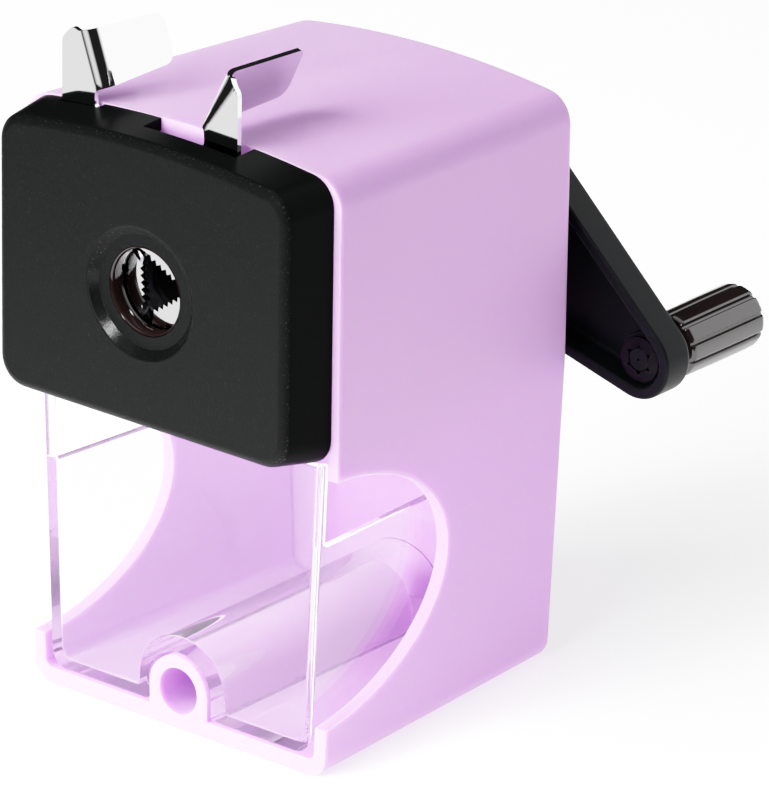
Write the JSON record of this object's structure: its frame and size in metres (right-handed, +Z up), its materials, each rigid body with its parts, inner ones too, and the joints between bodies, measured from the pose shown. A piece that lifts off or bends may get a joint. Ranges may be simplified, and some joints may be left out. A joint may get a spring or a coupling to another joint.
{
  "type": "crank pencil sharpener",
  "caption": "Desk pencil sharpener: drafted housing with side cut-outs, clear shavings drawer, sprung faceplate with lever chuck, rear crank turning a helical cutter.",
  "frame": {"origin": "centre of the base's underside, halfway between the housing's sides", "axes": "+X to the right seen from the pencil's side, +Y along the pencil axis towards the crank, +Z up"},
  "size_m": [0.0898, 0.1163, 0.1303],
  "materials": {
    "lilac_plastic": "satin moulded ABS",
    "white_plastic": "moulded acetal",
    "black_plastic": "moulded acetal",
    "textured_black": "fine spark-eroded texture",
    "crank_black": "satin moulded",
    "knob_black": "polished",
    "gloss_brown_black": "polished",
    "clear_plastic": "clear polished styrene",
    "chromed_steel": "bright chromed pressed steel",
    "zinc_steel": "zinc plated",
    "spring_steel": "drawn wire",
    "cutter_steel": "hardened, ground",
    "cast_zinc": "die cast"
  },
  "bodies": {
    "body": {"housing": "lilac_plastic", "mechanism_frame": "white_plastic", "frame_screws": "zinc_steel", "ring_gear": "black_plastic", "rear_bearing": "white_plastic", "guide_bush_left": "white_plastic", "guide_bush_right": "white_plastic"},
    "carriage": {"faceplate": "textured_black", "pencil_bezel": "gloss_brown_black", "guide_rod_left": "chromed_steel", "guide_rod_right": "chromed_steel", "feed_spring_left": "spring_steel", "feed_spring_right": "spring_steel", "rod_clips": "zinc_steel", "chuck_plate": "chromed_steel", "chuck_hub": "zinc_steel", "jaw_pivot_pins": "zinc_steel", "chuck_screws": "zinc_steel"},
    "chuck": {"chuck_ring": "chromed_steel", "jaw_drive_pins": "zinc_steel", "chuck_spring": "spring_steel"},
    "jaw_1": {"jaw_1": "chromed_steel"},
    "jaw_2": {"jaw_2": "chromed_steel"},
    "jaw_3": {"jaw_3": "chromed_steel"},
    "crank": {"cutter_carrier": "cast_zinc", "cutter_pin": "zinc_steel", "cutter_clip": "zinc_steel", "drive_shaft": "zinc_steel", "thrust_washer": "white_plastic", "crank_arm": "crank_black", "crank_screw": "chromed_steel"},
    "cutter": {"cutter": "cutter_steel", "cutter_pinion": "cutter_steel"},
    "knob": {"knob": "knob_black", "knob_clip": "chromed_steel"},
    "bin": {"shavings_bin": "clear_plastic"}
  },
  "joints": [
    {"name": "carriage_slide", "type": "slide", "parent": "body", "child": "carriage", "axis": [0, -1, 0], "range_m": [0, 0.022], "stiffness_N_per_m": 120, "springref_m": -0.01, "deforming": ["feed_spring_left", "feed_spring_right"]},
    {"name": "chuck_turn", "type": "hinge", "parent": "carriage", "child": "chuck", "pos_m": [0, -0.038, 0.0878], "axis": [0, -1, 0], "range_deg": [0, 20], "stiffness_Nm_per_rad": 0.15, "springref_deg": -8.59, "deforming": ["chuck_spring"]},
    {"name": "jaw_1_swing", "type": "hinge", "parent": "carriage", "child": "jaw_1", "pos_m": [-0.00698, -0.0402, 0.09766], "axis": [0, -1, 0], "range_deg": [0, 15]},
    {"name": "jaw_2_swing", "type": "hinge", "parent": "carriage", "child": "jaw_2", "pos_m": [-0.00505, -0.0402, 0.07682], "axis": [0, -1, 0], "range_deg": [0, 15]},
    {"name": "jaw_3_swing", "type": "hinge", "parent": "carriage", "child": "jaw_3", "pos_m": [0.01203, -0.0402, 0.08892], "axis": [0, -1, 0], "range_deg": [0, 15]},
    {"name": "crank_turn", "type": "hinge", "parent": "body", "child": "crank", "pos_m": [0, 0.03, 0.0878], "axis": [0, 1, 0], "continuous": true},
    {"name": "cutter_spin", "type": "hinge", "parent": "crank", "child": "cutter", "pos_m": [0, 0, 0.09682], "axis": [0, 0.9833, -0.1822], "continuous": true},
    {"name": "knob_spin", "type": "hinge", "parent": "crank", "child": "knob", "pos_m": [0.04558, 0.05, 0.06175], "axis": [0, 1, 0], "continuous": true},
    {"name": "bin_slide", "type": "slide", "parent": "body", "child": "bin", "axis": [0, -1, 0], "range_m": [0, 0.06]}
  ],
  "couplings": [
    {"joint": "jaw_1_swing", "follows": "chuck_turn", "ratio": 0.75},
    {"joint": "jaw_2_swing", "follows": "chuck_turn", "ratio": 0.75},
    {"joint": "jaw_3_swing", "follows": "chuck_turn", "ratio": 0.75},
    {"joint": "cutter_spin", "follows": "crank_turn", "ratio": -2.1818}
  ]
}
